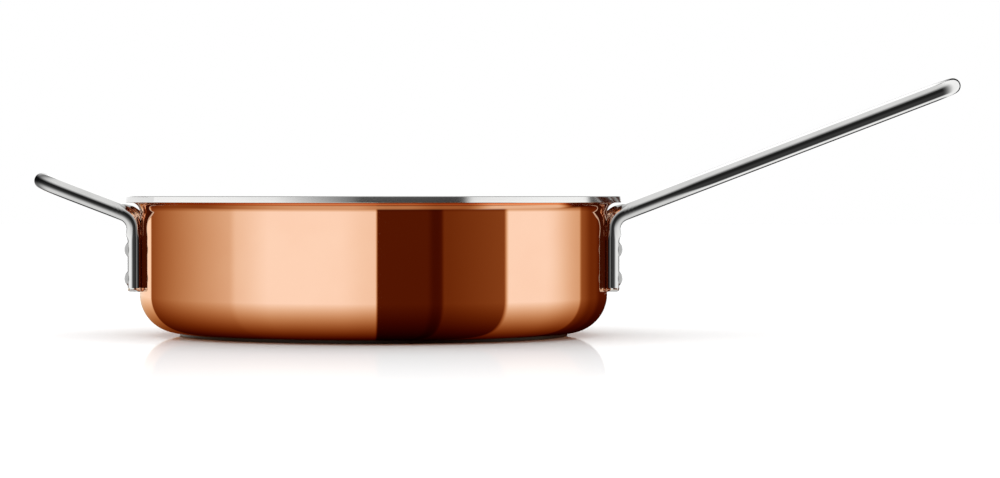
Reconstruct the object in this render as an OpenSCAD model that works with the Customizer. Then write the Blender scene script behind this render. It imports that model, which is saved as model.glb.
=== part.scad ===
// Copper-clad saute pan with two bent-bar handles and a flat drop-grip lid.
// Units mm. Origin: centre of the base underside. +Z up, +X along the long handle.

/* [Pan body] */
// Inner diameter of the straight wall
inner_d = 240; // [220:1:280]
// Height of the flange's top above the surface the pan stands on
rim_z = 71.7; // [66:0.1:90]
// Outer copper layer thickness
copper_t = 0.5; // [0.3:0.1:0.8]
// Aluminium middle layer thickness
core_t = 1.4; // [1.2:0.1:1.8]
// Inner steel layer thickness
liner_t = 0.4; // [0.3:0.1:0.6]
// Outside radius of the bend between bottom and wall
corner_r = 20; // [14:0.5:26]
// Outside radius of the flare below the flange
flare_r = 4.8; // [4:0.1:6]
// Flat width of the flange beyond the flare
flange_flat = 0.9; // [0.9:0.1:1.4]
// Width of the liner's lip that closes the flange edge
lip_w = 0.8; // [0.5:0.1:0.9]
// Diameter of the magnetic steel base plate
base_d = 203.2; // [180:0.2:206]
// Thickness of the base plate
base_t = 1.6; // [1.2:0.1:3]
// Edge chamfer of the base plate
base_edge = 0.4; // [0.2:0.1:0.6]

/* [Handles] */
// Diameter of the round bar
bar_d = 8; // [7.6:0.1:8.4]
// Distance between the two legs of a handle, axis to axis
leg_gap = 38; // [32:0.5:50]
// Rise of the legs above level
rise = 20.95; // [15:0.05:28]
// Bend radius at the bar's axis between foot and leg
leg_bend_r = 9; // [8:0.25:10]
// Height where the foot axis and the leg axis meet
elbow_z = 61.8; // [59:0.1:62]
// Distance from the wall to the bar's axis at the tip of the long handle
long_reach = 181.3; // [120:0.1:220]
// Distance from the wall to the bar's axis at the tip of the helper handle
helper_reach = 51.6; // [43:0.1:70]
// Width of the pressed foot
foot_w = 10; // [9:0.1:11]
// Thickness of the pressed foot
foot_t = 6.5; // [6:0.1:7]
// Height of the foot's lower end
foot_z = 23.2; // [22:0.1:25]
// Height where the pressed part ends
foot_top_z = 50; // [49:0.1:52]
// Chamfer round the foot's lower end
foot_edge = 0.6; // [0.3:0.1:1]

/* [Handle rivets] */
// Shank diameter
rivet_d = 4.8; // [4:0.1:5.2]
// Height of the lower rivet
rivet_low_z = 30; // [29:0.1:32]
// Height of the upper rivet
rivet_high_z = 45; // [42:0.1:45.5]
// Outer head diameter
rivet_head_d = 7.6; // [7:0.1:8]
// Outer head height
rivet_head_h = 1.8; // [1.4:0.1:2.4]
// Inner head diameter
rivet_back_d = 9; // [8:0.1:11]
// Inner head height
rivet_back_h = 1.2; // [1:0.1:1.6]

/* [Lid] */
// Lid sheet thickness
lid_t = 1; // [0.8:0.1:1.2]
// Height of the lid's turned-down skirt
skirt_h = 3.3; // [3:0.1:4]
// Gap between the flange's edge and the skirt, at the flange's top
skirt_clear = 0.3; // [0.2:0.05:0.6]
// Lean of the skirt outwards, in degrees
skirt_draft = 5; // [0:0.5:8]
// Rounding along the lid's top edge
lid_edge_r = 0.4; // [0.2:0.1:0.6]
// Diameter of the sunken well, inside
well_d = 120; // [116:1:150]
// Depth of the well
well_depth = 13; // [13:0.25:18]
// Inside radius where the lid's top turns down into the well
well_lip_r = 2.5; // [1.5:0.25:4]
// Inside radius between the well's wall and floor
well_foot_r = 5; // [3:0.25:5]

/* [Lid grip] */
// Diameter of the bail bar
bail_bar_d = 5; // [4.4:0.1:5.4]
// Distance between the bail's arms, axis to axis
bail_w = 66; // [60:0.5:67]
// Distance from the pivot to the bail's cross bar
bail_reach = 42; // [36:0.5:46]
// Corner radius of the bail at the bar's axis
bail_corner_r = 10; // [7:0.5:14]
// Bend radius between arm and pivot pin at the bar's axis
bail_pin_bend_r = 5; // [4:0.25:5]
// Height of the pivot above the well floor
pivot_h = 6.3; // [6:0.1:6.6]
// Gap kept between the resting cross bar and the well floor
bail_rest_gap = 0.3; // [0.2:0.1:0.6]
// Length of the pivot pin beyond the bend
pin_len = 4.6; // [4.2:0.1:5]
// Radial clearance of the pivot pin in its lug
pin_clear = 0.06; // [0.03:0.01:0.1]
// Thickness of the lug plate
lug_t = 2.2; // [1.8:0.1:2.4]
// Gap between the bail's bend and the lug
lug_gap = 0.5; // [0.4:0.1:0.8]
// Radius of the lug's round top
lug_eye_r = 5; // [4.6:0.1:5.4]
// Length of the lug's foot along the lid
lug_foot_l = 19; // [17:0.5:19]
// Reach of the lug's foot beyond its upright
lug_foot_w = 10.8; // [10:0.1:11]
// Distance between the two rivets of a lug
lug_rivet_gap = 10.4; // [9:0.1:10.4]
// Lug rivet shank diameter
lug_rivet_d = 3; // [2.4:0.1:3.2]
// Lug rivet head diameter
lug_head_d = 5.2; // [4.6:0.1:5.4]
// Lug rivet head height
lug_head_h = 1.2; // [0.8:0.1:1.3]

/* [Hidden] */
$fn = 96;
// Small overlap used only where one shape cuts or joins another
eps = 0.01;
// Length kept to whole thousandths, so that ends drawn separately meet exactly
function whole(v) = round(v * 1000) / 1000;
// Wall layers counted from the outside
wall_t = copper_t + core_t + liner_t;
wall_r = inner_d / 2 + wall_t;
// Underside of the flange and start of the flare
flange_z = rim_z - wall_t;
flare_z = flange_z - flare_r;
flange_or = wall_r + flare_r + flange_flat;
corner_z = base_t + corner_r;
// Handle foot: radius of its axis, and the angle that puts it on the leg's line
foot_cr = wall_r + foot_t / 2;
foot_a = asin(leg_gap / 2 / foot_cr);
leg_x = foot_cr * cos(foot_a);
bar_r = bar_d / 2;
// The bend between foot and leg
bend_a = 90 - rise;
bend_tan = whole(leg_bend_r * tan(bend_a / 2));
bend_z = elbow_z - bend_tan;
// Depth to which the foot reaches the wall before it is cut to fit
seat_bite = 0.3;
// Foot blend: height past the start of the bend, sink below and rise above the bar's surface
blend_over = 1.2;
blend_in = 0.15;
blend_out = 0.4;
rivet_zs = [rivet_low_z, rivet_high_z];
// Lid levels
lid_top = rim_z + lid_t;
// Skirt: outer radius at the level of the flange's top, at its lower edge and where it rounds
skirt_r = flange_or + skirt_clear + lid_t;
skirt_low_z = lid_top - skirt_h;
skirt_low_r = skirt_r + (rim_z - skirt_low_z) * tan(skirt_draft);
skirt_high_r = skirt_r - (lid_t - lid_edge_r) * tan(skirt_draft);
well_r = well_d / 2;
well_floor = lid_top - well_depth;
lip_c_r = well_r + well_lip_r + lid_t;
// Bail and lugs
pivot_z = well_floor + pivot_h;
bail_r = bail_bar_d / 2;
bail_drop = pivot_h - bail_r - bail_rest_gap;
bail_tilt = asin(bail_drop / bail_reach);
pin_y = bail_w / 2 + bail_pin_bend_r;
lug_y = pin_y + lug_gap;
lug_rivet_y = lug_y + lug_t + lug_foot_w / 2;
// Radius of a ball whose cap is w wide and h high
function cap_r(w, h) = (w * w / 4 + h * h) / (2 * h);

// Domed head: flat underside on z = 0, dome upwards
module dome(w, h) {
    intersection() {
        translate([0, 0, h - cap_r(w, h)]) sphere(r = cap_r(w, h));
        cylinder(d = w + eps, h = h + eps);
    }
}

// Quarter ring between two radii, in the quadrant given by two signs
module quarter_ring(r_out, r_in, sx, sy) {
    intersection() {
        difference() { circle(r = r_out); circle(r = r_in); }
        translate([sx > 0 ? 0 : -r_out, sy > 0 ? 0 : -r_out]) square(r_out);
    }
}

// Section of the layer that lies between two depths below the outer surface
module layer_section(d0, d1, edge_r) {
    translate([0, base_t + d0]) square([wall_r - corner_r, d1 - d0]);
    translate([wall_r - corner_r, corner_z])
        quarter_ring(corner_r - d0, corner_r - d1, 1, -1);
    translate([wall_r - d1, corner_z]) square([d1 - d0, flare_z - corner_z]);
    translate([wall_r + flare_r, flare_z])
        quarter_ring(flare_r + d1, flare_r + d0, -1, 1);
    translate([wall_r + flare_r, flange_z + d0])
        square([edge_r - wall_r - flare_r, d1 - d0]);
}

// One radial copy for every handle foot, turned to face away from the wall
module at_feet(side) {
    for (s = [-1, 1]) rotate([0, 0, (side > 0 ? 0 : 180) + s * foot_a]) children();
}

// Holes through the wall for one handle's rivets
module rivet_holes(side) {
    at_feet(side) for (z = rivet_zs)
        translate([inner_d / 2 - wall_t, 0, z]) rotate([0, 90, 0])
            cylinder(d = rivet_d, h = 2 * wall_t + foot_t + flare_r);
}

module layer(d0, d1, edge_r) {
    difference() {
        rotate_extrude($fn = 180) layer_section(d0, d1, edge_r);
        rivet_holes(1);
        rivet_holes(-1);
    }
}

module copper_shell() {
    color([0.85, 0.47, 0.3]) layer(0, copper_t, flange_or);
}

module aluminium_core() {
    color([0.75, 0.76, 0.77]) layer(copper_t, copper_t + core_t, flange_or - lip_w);
}

module steel_liner() {
    color([0.8, 0.8, 0.8]) union() {
        layer(copper_t + core_t, wall_t, flange_or);
        rotate_extrude($fn = 180) translate([flange_or - lip_w, flange_z + copper_t])
            square([lip_w, core_t + liner_t]);
    }
}

module base_plate() {
    color([0.35, 0.35, 0.36]) union() {
        cylinder(d1 = base_d - 2 * base_edge, d2 = base_d, h = base_edge, $fn = 180);
        translate([0, 0, base_edge]) cylinder(d = base_d, h = base_t - base_edge, $fn = 180);
    }
}

// Pressed foot: a wide bar with two flats, easing back to the round bar above
module foot() {
    blend_z = bend_z + blend_over;
    blend_h = blend_z - foot_top_z;
    intersection() {
        translate([foot_cr, 0, 0]) {
            translate([0, 0, foot_z])
                cylinder(d1 = foot_w - 2 * foot_edge, d2 = foot_w, h = foot_edge);
            translate([0, 0, foot_z + foot_edge])
                cylinder(d = foot_w, h = foot_top_z - foot_z - foot_edge);
            translate([0, 0, foot_top_z])
                cylinder(d1 = foot_w, d2 = bar_d - 2 * blend_in, h = blend_h);
        }
        translate([foot_cr, foot_w, 0]) rotate([90, 0, 0])
            linear_extrude(height = 2 * foot_w) polygon([
                [-foot_t / 2 - seat_bite, foot_z - eps],
                [foot_t / 2, foot_z - eps],
                [foot_t / 2, foot_top_z],
                [bar_r + blend_out, blend_z + eps],
                [-bar_r - blend_out, blend_z + eps],
                [-foot_t / 2 - seat_bite, foot_top_z]]);
    }
}

// Length along the slope from the elbow to the centre of the end loop
function leg_run(reach) = whole((wall_r + reach - leg_x) / cos(rise) - leg_gap / 2);

// Bends, straight legs and end loop, drawn in the tilted plane of the legs
module grip(reach) {
    translate([leg_x, 0, elbow_z]) rotate([0, -rise, 0]) {
        for (s = [-1, 1]) translate([bend_tan, s * leg_gap / 2, 0]) {
            translate([0, 0, -leg_bend_r]) rotate([90, 0, 0]) rotate([0, 0, 90])
                rotate_extrude(angle = bend_a, $fn = 96)
                    translate([leg_bend_r, 0]) circle(r = bar_r, $fn = 48);
            rotate([0, 90, 0])
                cylinder(r = bar_r, h = leg_run(reach) - bend_tan, $fn = 48);
        }
        translate([leg_run(reach), 0, 0]) rotate([0, 0, -90])
            rotate_extrude(angle = 180, $fn = 96)
                translate([leg_gap / 2, 0]) circle(r = bar_r, $fn = 48);
    }
}

module handle(reach) {
    difference() {
        union() {
            for (s = [-1, 1]) rotate([0, 0, s * foot_a]) foot();
            grip(reach);
        }
        cylinder(r = wall_r, h = flange_z, $fn = 180);
        rivet_holes(1);
    }
}

module long_handle() {
    color([0.78, 0.78, 0.78]) handle(long_reach);
}

module helper_handle() {
    color([0.78, 0.78, 0.78]) rotate([0, 0, 180]) handle(helper_reach);
}

// Rivet along +X: domed head outside, low head seated on the round inside wall
module rivet() {
    face_r = wall_r + foot_t;
    translate([inner_d / 2 - eps, 0, 0]) rotate([0, 90, 0])
        cylinder(d = rivet_d, h = face_r - inner_d / 2 + 2 * eps);
    translate([face_r, 0, 0]) rotate([0, 90, 0]) dome(rivet_head_d, rivet_head_h);
}

module rivet_back() {
    seat = inner_d / 2 - rivet_back_d * rivet_back_d / (4 * inner_d) - eps;
    translate([seat, 0, 0]) rotate([0, -90, 0]) dome(rivet_back_d, rivet_back_h);
    translate([seat - eps, 0, 0]) rotate([0, 90, 0])
        cylinder(d = rivet_back_d, h = inner_d / 2 - seat + 2 * eps);
}

module handle_rivets(side) {
    at_feet(side) for (z = rivet_zs) translate([0, 0, z]) rivet();
    intersection() {
        at_feet(side) for (z = rivet_zs) translate([0, 0, z]) rivet_back();
        cylinder(d = inner_d, h = rim_z, $fn = 180);
    }
}

module long_handle_rivets() {
    color([0.72, 0.72, 0.72]) handle_rivets(1);
}

module helper_handle_rivets() {
    color([0.72, 0.72, 0.72]) handle_rivets(-1);
}

module lid_section() {
    // Flat ring from the well's lip to the skirt, the leaning skirt and its rounded edge
    polygon([
        [lip_c_r, rim_z],
        [skirt_r - lid_t, rim_z],
        [skirt_low_r - lid_t, skirt_low_z],
        [skirt_low_r, skirt_low_z],
        [skirt_high_r, lid_top - lid_edge_r],
        [skirt_high_r - lid_edge_r, lid_top - lid_edge_r],
        [skirt_high_r - lid_edge_r, lid_top],
        [lip_c_r, lid_top]]);
    translate([skirt_high_r - lid_edge_r, lid_top - lid_edge_r]) intersection() {
        circle(r = lid_edge_r);
        square(lid_edge_r);
    }
    // Lip, wall, corner and floor of the well
    translate([lip_c_r, rim_z - well_lip_r])
        quarter_ring(well_lip_r + lid_t, well_lip_r, -1, 1);
    translate([well_r, well_floor + well_foot_r])
        square([lid_t, rim_z - well_lip_r - well_floor - well_foot_r]);
    translate([well_r - well_foot_r, well_floor + well_foot_r])
        quarter_ring(well_foot_r + lid_t, well_foot_r, 1, -1);
    translate([0, well_floor - lid_t]) square([well_r - well_foot_r, lid_t]);
}

// Places a child at each lug rivet
module at_lug_rivets(sides) {
    for (sy = sides) for (sx = [-1, 1])
        translate([sx * lug_rivet_gap / 2, sy * lug_rivet_y, 0]) children();
}

module lid_plate() {
    color([0.82, 0.82, 0.82]) difference() {
        rotate_extrude($fn = 180) lid_section();
        at_lug_rivets([-1, 1]) translate([0, 0, well_floor - lid_t - eps])
            cylinder(d = lug_rivet_d, h = lid_t + 2 * eps, $fn = 32);
    }
}

// Lug on the +Y side: upright with a round eye, and a riveted foot
module lug() {
    difference() {
        union() {
            translate([-lug_eye_r, lug_y, well_floor])
                cube([2 * lug_eye_r, lug_t, pivot_h]);
            translate([0, lug_y, pivot_z]) rotate([-90, 0, 0])
                cylinder(r = lug_eye_r, h = lug_t, $fn = 64);
            translate([-lug_foot_l / 2, lug_y, well_floor])
                cube([lug_foot_l, lug_t + lug_foot_w, lug_t]);
        }
        translate([0, lug_y - eps, pivot_z]) rotate([-90, 0, 0])
            cylinder(r = bail_r + pin_clear, h = lug_t + 2 * eps, $fn = 64);
        at_lug_rivets([1]) translate([0, 0, well_floor - eps])
            cylinder(d = lug_rivet_d, h = lug_t + 2 * eps, $fn = 32);
    }
}

module lid_lug_front() {
    color([0.7, 0.7, 0.71]) mirror([0, 1, 0]) lug();
}

module lid_lug_rear() {
    color([0.7, 0.7, 0.71]) lug();
}

module lid_lug_rivets() {
    color([0.68, 0.68, 0.68]) at_lug_rivets([-1, 1]) {
        translate([0, 0, well_floor - lid_t - eps])
            cylinder(d = lug_rivet_d, h = lid_t + lug_t + 2 * eps, $fn = 32);
        translate([0, 0, well_floor + lug_t]) dome(lug_head_d, lug_head_h);
        translate([0, 0, well_floor - lid_t]) mirror([0, 0, 1]) dome(lug_head_d, lug_head_h);
    }
}

// Half of the bail on the +Y side, lying flat along +X from the pivot
module bail_half() {
    arm_y = bail_w / 2;
    translate([0, pin_y, 0]) rotate([-90, 0, 0])
        cylinder(r = bail_r, h = pin_len, $fn = 48);
    translate([bail_pin_bend_r, pin_y, 0]) rotate([0, 0, 180])
        rotate_extrude(angle = 90, $fn = 96)
            translate([bail_pin_bend_r, 0]) circle(r = bail_r, $fn = 48);
    translate([bail_pin_bend_r, arm_y, 0]) rotate([0, 90, 0])
        cylinder(r = bail_r, h = bail_reach - bail_corner_r - bail_pin_bend_r, $fn = 48);
    translate([bail_reach - bail_corner_r, arm_y - bail_corner_r, 0])
        rotate_extrude(angle = 90, $fn = 96)
            translate([bail_corner_r, 0]) circle(r = bail_r, $fn = 48);
    translate([bail_reach, 0, 0]) rotate([-90, 0, 0])
        cylinder(r = bail_r, h = arm_y - bail_corner_r, $fn = 48);
}

module lid_bail() {
    color([0.76, 0.76, 0.76]) translate([0, 0, pivot_z]) rotate([0, bail_tilt, 0]) {
        bail_half();
        mirror([0, 1, 0]) bail_half();
    }
}

copper_shell();
aluminium_core();
steel_liner();
base_plate();
long_handle();
long_handle_rivets();
helper_handle();
helper_handle_rivets();
lid_plate();
lid_lug_front();
lid_lug_rear();
lid_lug_rivets();
lid_bail();
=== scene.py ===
import math

import bpy
import numpy as np
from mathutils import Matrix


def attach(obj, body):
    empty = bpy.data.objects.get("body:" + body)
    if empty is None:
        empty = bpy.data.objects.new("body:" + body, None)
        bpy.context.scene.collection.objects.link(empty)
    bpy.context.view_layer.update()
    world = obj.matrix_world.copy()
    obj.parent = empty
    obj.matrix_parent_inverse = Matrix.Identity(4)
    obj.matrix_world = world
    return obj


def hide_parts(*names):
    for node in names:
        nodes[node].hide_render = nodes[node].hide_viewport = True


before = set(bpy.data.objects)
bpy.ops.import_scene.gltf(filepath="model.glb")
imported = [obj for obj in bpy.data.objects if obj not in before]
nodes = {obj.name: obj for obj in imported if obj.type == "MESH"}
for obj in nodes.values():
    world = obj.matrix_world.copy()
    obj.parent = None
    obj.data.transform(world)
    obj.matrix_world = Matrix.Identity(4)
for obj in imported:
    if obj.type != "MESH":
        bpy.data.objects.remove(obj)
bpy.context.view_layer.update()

# Copper shell
# The outer 0.5 mm of the clad sheet: drawn copper, polished to a mirror, bonded to
# the aluminium under it. It turns outwards in a short flare below the flange.

MM = 0.001
WALL_R = 122.3
CORNER_R = 20.0
BASE_T = 1.6
FLARE_R = 4.8
FLARE_Z = 64.6
FLANGE_R = 128.0
FLANGE_Z = 69.4
COPPER_T = 0.5
EDGE_R = 0.15
CORNER_IN = WALL_R - CORNER_R
CORNER_Z = BASE_T + CORNER_R


def arc(centre_r, centre_z, radius, first, last, steps=24):
    """Arc of an outline: centre plus radius times (cos a, sin a), a going evenly from
    first to last in degrees."""
    a = np.radians(np.linspace(first, last, steps + 1))
    return np.column_stack([centre_r + radius * np.cos(a), centre_z + radius * np.sin(a)])


def outline(*runs):
    """Closed outline from arcs and single points, in order, each run once."""
    rows = np.vstack([np.atleast_2d(np.asarray(run, float)) for run in runs])
    keep = np.ones(len(rows), bool)
    keep[1:] = np.linalg.norm(np.diff(rows, axis=0), axis=1) > 1e-6
    return rows[keep]


def spun(rows, steps=360):
    """Grid of a spun shape: outline point (r, z) and turn a give (r cos a, r sin a, z)."""
    a = np.arange(steps) * 2 * np.pi / steps
    r, z = rows[:, :1], rows[:, 1:]
    return np.stack([r * np.cos(a), r * np.sin(a), z + 0 * a], axis=-1)


def surface(grid):
    """Points, normals and faces of a grid whose columns close round it and whose first
    and last rows are single points. A normal is the cross product of the steps to the
    next and last point along both directions, weighted by their length. Faces whose
    volume comes out negative are turned round, and the normals follow the faces."""
    rows, cols = grid.shape[:2]
    across = np.roll(grid, -1, axis=1) - np.roll(grid, 1, axis=1)
    along = grid[2:] - grid[:-2]
    normal = np.cross(across[1:-1], along)
    normal /= np.maximum(np.linalg.norm(normal, axis=-1, keepdims=True), 1e-12)
    ends = [normal[i].mean(axis=0) for i in (0, -1)]
    points = np.vstack([grid[0, :1], grid[1:-1].reshape(-1, 3), grid[-1, :1]])
    normals = np.vstack([ends[0], normal.reshape(-1, 3), ends[1]])
    ring = np.arange(cols)
    after = (ring + 1) % cols
    last, top = len(points) - 1, 1 + (rows - 3) * cols
    caps = np.vstack([
        np.column_stack([0 * ring, 1 + after, 1 + ring]),
        np.column_stack([0 * ring + last, top + ring, top + after]),
    ])
    start = 1 + np.arange(rows - 3)[:, None] * cols
    quads = np.stack([start + ring, start + after, start + cols + after,
                      start + cols + ring], axis=-1).reshape(-1, 4)
    corner = points[quads]
    facing = np.cross(corner[:, 2] - corner[:, 0], corner[:, 3] - corner[:, 1])
    if (corner.mean(axis=1) * facing).sum() < 0:
        caps, quads, facing = caps[:, ::-1], quads[:, ::-1], -facing
    if (facing * normals[quads[:, 0]]).sum() < 0:
        normals = -normals
    return points, normals, caps, quads


def piece(name, grids, body, slot, material, *replaced):
    """One object from several closed grids, in metres, riding on its body and standing
    for its CAD nodes."""
    points, normals, faces, sizes, count = [], [], [], [], 0
    for grid in grids:
        p, n, caps, quads = surface(grid)
        points.append(p)
        normals.append(n)
        faces += [caps.ravel() + count, quads.ravel() + count]
        sizes += [np.full(len(caps), 3), np.full(len(quads), 4)]
        count += len(p)
    faces, sizes = np.concatenate(faces), np.concatenate(sizes)
    mesh = bpy.data.meshes.new(name)
    mesh.vertices.add(count)
    mesh.vertices.foreach_set("co", (np.vstack(points) * MM).ravel())
    mesh.loops.add(len(faces))
    mesh.loops.foreach_set("vertex_index", faces)
    mesh.polygons.add(len(sizes))
    mesh.polygons.foreach_set("loop_start", np.concatenate([[0], np.cumsum(sizes)[:-1]]))
    mesh.polygons.foreach_set("use_smooth", np.ones(len(sizes), bool))
    mesh.update(calc_edges=True)
    mesh.validate()
    mesh.normals_split_custom_set_from_vertices(np.vstack(normals))
    mesh.materials.append(material)
    obj = bpy.data.objects.new(name, mesh)
    bpy.context.scene.collection.objects.link(obj)
    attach(obj, body)
    if replaced:
        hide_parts(*replaced)
    return obj


class Wire:
    """A shader socket whose sums and products add Math nodes."""

    def __init__(self, tree, socket=None):
        self.tree, self.socket = tree, socket

    def node(self, kind, sockets=(), out=0, **settings):
        """Any node: its type, its settings, then its sockets' values or links. Sockets
        come in order, or as a dict by name or number."""
        made = self.tree.nodes.new(kind)
        for key, value in settings.items():
            setattr(made, key, value)
        pairs = sockets.items() if isinstance(sockets, dict) else enumerate(sockets)
        for key, value in pairs:
            if isinstance(value, Wire):
                self.tree.links.new(value.socket, made.inputs[key])
            elif value is not None:
                made.inputs[key].default_value = value
        return Wire(self.tree, made.outputs[out]) if made.outputs else made

    def maths(self, operation, *values):
        return self.node("ShaderNodeMath", values, operation=operation)

    def __add__(self, other):
        return self.maths("ADD", self, other)

    def __sub__(self, other):
        return self.maths("SUBTRACT", self, other)

    def __rsub__(self, other):
        return self.maths("SUBTRACT", other, self)

    def __mul__(self, other):
        return self.maths("MULTIPLY", self, other)

    def __truediv__(self, other):
        return self.maths("DIVIDE", self, other)

    def __pow__(self, other):
        return self.maths("POWER", self, other)

    __radd__, __rmul__ = __add__, __mul__

    def step(self, low, high):
        """0 below low, 1 above high, smooth between; high below low turns it round."""
        sockets = {0: self, 1: min(low, high), 2: max(low, high),
                   3: 0.0 if low < high else 1.0, 4: 1.0 if low < high else 0.0}
        return self.node("ShaderNodeMapRange", sockets, interpolation_type="SMOOTHSTEP")

    def blend(self, first, second):
        """Colour from first to second as self goes from 0 to 1."""
        return self.node("ShaderNodeMix", {0: self, 6: first, 7: second}, out=2,
                         data_type="RGBA")


def finish(name, **constants):
    """A new material: its shader with constant sockets, and object place in mm."""
    material = bpy.data.materials.new(name)
    material.use_nodes = True
    shader = material.node_tree.nodes["Principled BSDF"]
    for socket, value in constants.items():
        shader.inputs[socket.replace("_", " ")].default_value = value
    wire = Wire(material.node_tree)
    place = wire.node("ShaderNodeTexCoord", out="Object")
    place = wire.node("ShaderNodeVectorMath", {0: place, "Scale": 1000.0},
                      operation="SCALE")
    return material, shader, place


def dress(shader, colour=None, roughness=None, height=None, depth=0.0):
    """Links the varying colour, roughness and bump height (depth in mm) of a finish."""
    tree = shader.id_data
    if colour is not None:
        tree.links.new(colour.socket, shader.inputs["Base Color"])
    if roughness is not None:
        tree.links.new(roughness.socket, shader.inputs["Roughness"])
    if height is not None:
        bump = height.node("ShaderNodeBump",
                           {"Height": height, "Distance": depth * MM, "Strength": 1.0})
        tree.links.new(bump.socket, shader.inputs["Normal"])


def stretched(place, x, y, z, scale=1.0, detail=2.0):
    """Noise over the place, its grain x, y and z times as fine along the axes."""
    place = place.node("ShaderNodeVectorMath", (place, (x, y, z)), operation="MULTIPLY")
    return place.node("ShaderNodeTexNoise",
                      {"Vector": place, "Scale": scale, "Detail": detail}, out="Fac")


COPPER_LIGHT, COPPER_DEEP = (0.965, 0.60, 0.43, 1), (0.95, 0.575, 0.405, 1)
COPPER_TINT = (1.0, 0.84, 0.70, 1)


def polished_copper():
    """Mirror copper: soft clouds of tone, hair-fine wiping lines round the wall."""
    material, shader, place = finish("copper_mirror", Metallic=1.0,
                                    Specular_Tint=COPPER_TINT)
    cloud = stretched(place, 1, 1, 1, 0.03, 3)
    lines = stretched(place, 0.02, 0.02, 9, 1.0, 3)
    colour = cloud.step(0.3, 0.7).blend(COPPER_LIGHT, COPPER_DEEP)
    rough = 0.018 + cloud * 0.014 + lines.step(0.55, 0.8) * 0.02
    dress(shader, colour, rough, lines, 0.00002)
    return material


copper_outline = outline(
    (0, BASE_T),
    arc(CORNER_IN, CORNER_Z, CORNER_R, -90, 0, 48),
    arc(WALL_R + FLARE_R, FLARE_Z, FLARE_R, 180, 90, 24),
    arc(FLANGE_R - EDGE_R, FLANGE_Z + EDGE_R, EDGE_R, -90, 0, 5),
    (FLANGE_R, FLANGE_Z + COPPER_T),
    arc(WALL_R + FLARE_R, FLARE_Z, FLARE_R + COPPER_T, 90, 180, 12),
    arc(CORNER_IN, CORNER_Z, CORNER_R - COPPER_T, 0, -90, 24),
    (0, BASE_T + COPPER_T),
)
COPPER = polished_copper()
piece("copper_wall", [spun(copper_outline, 540)], "pan", "copper", COPPER, "copper_shell")

# Aluminium core
# The 1.4 mm middle of the clad sheet, closed in by the copper and the steel. It is the
# CAD node itself, in plain rolled aluminium.

CORE_DARK, CORE_LIGHT = (0.74, 0.75, 0.76, 1), (0.80, 0.81, 0.82, 1)
ALUMINIUM, shader, place = finish("rolled_aluminium", Metallic=1.0)
rolled, streaks = stretched(place, 0.3, 6, 6), stretched(place, 0.2, 4, 4)
dress(shader, streaks.blend(CORE_DARK, CORE_LIGHT), 0.42 + rolled * 0.15, rolled, 0.002)
nodes["aluminium_core"].data.materials.clear()
nodes["aluminium_core"].data.materials.append(ALUMINIUM)

# Steel liner
# The inner 0.4 mm of the clad sheet, the cooking surface: stainless steel spun to a
# satin of fine rings, rolled over the flange's edge as a thin lip.

WALL_T = 2.3
CORE_T = 1.4
LIP_W = 0.8
RIM_R = 0.35
RIM_GAP = 0.05
RIM_Z = 71.7
LINER_IN = COPPER_T + CORE_T


def rings(place, fineness, detail=3.0):
    """Noise by distance from the axis alone, so that it runs in rings, mixed with a
    little noise by height for the walls."""
    x, y, z = (place.node("ShaderNodeSeparateXYZ", (place,), out=i) for i in range(3))
    radius = (x * x + y * y) ** 0.5
    along = radius + z
    flat = place.node("ShaderNodeCombineXYZ", (along * fineness, z * (0.35 * fineness)))
    return place.node("ShaderNodeTexNoise",
                      {"Vector": flat, "Scale": 1.0, "Detail": detail}, out="Fac")


def spun_steel(name, light, dark, rough, depth):
    """Spun stainless steel: rings of slightly uneven gloss over faint clouds."""
    material, shader, place = finish(name, Metallic=1.0)
    fine, broad = rings(place, 5.0), rings(place, 0.7)
    cloud = stretched(place, 1, 1, 1, 0.02, 3)
    colour = (broad * 0.6 + cloud * 0.4).step(0.3, 0.7).blend(dark, light)
    roughness = rough + (fine - 0.5) * (0.35 * rough) + (cloud - 0.5) * 0.04
    dress(shader, colour, roughness, fine * 0.7 + broad * 0.3, depth)
    return material


liner_outline = outline(
    (0, BASE_T + WALL_T),
    arc(CORNER_IN, CORNER_Z, CORNER_R - WALL_T, -90, 0, 40),
    arc(WALL_R + FLARE_R, FLARE_Z, FLARE_R + WALL_T, 180, 90, 24),
    arc(FLANGE_R - RIM_R, RIM_Z - RIM_R, RIM_R, 90, 0, 6),
    (FLANGE_R, FLANGE_Z + COPPER_T),
    (FLANGE_R - LIP_W, FLANGE_Z + COPPER_T),
    (FLANGE_R - LIP_W, FLANGE_Z + LINER_IN - RIM_GAP),
    arc(WALL_R + FLARE_R, FLARE_Z, FLARE_R + LINER_IN, 90, 180, 12),
    arc(CORNER_IN, CORNER_Z, CORNER_R - LINER_IN, 0, -90, 20),
    (0, BASE_T + LINER_IN),
)
LINER_LIGHT, LINER_DARK = (0.76, 0.76, 0.75, 1), (0.66, 0.66, 0.65, 1)
LINER = spun_steel("satin_liner", LINER_LIGHT, LINER_DARK, 0.24, 0.004)
piece("liner_bowl", [spun(liner_outline, 360)], "pan", "liner_steel", LINER, "steel_liner")

# Base plate
# The magnetic steel disc pressed on to the copper's underside, which the pan stands
# on: turned flat, left darker than the other steel. Its narrow rim is painted nearly
# black as shade, for the shadow under the copper's overhanging corner.

BASE_R = 101.6
BASE_EDGE = 0.4
BASE_BREAK = 0.1
RIM_SOFT = 0.2
FACE_DARK, FACE_LIGHT = (0.13, 0.13, 0.13, 1), (0.24, 0.24, 0.24, 1)
# Painted shade: the rim's near-black stands for the shadow under the copper's overhang.
RIM_SHADE = (0.02, 0.015, 0.012, 1)
base_outline = outline(
    (0, 0),
    (BASE_R - BASE_EDGE - 2 * BASE_BREAK, 0),
    arc(BASE_R - BASE_EDGE, BASE_EDGE, BASE_EDGE, -90, 0, 6),
    (BASE_R, BASE_T - BASE_BREAK),
    (BASE_R - BASE_BREAK, BASE_T),
    (0, BASE_T),
)


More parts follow.
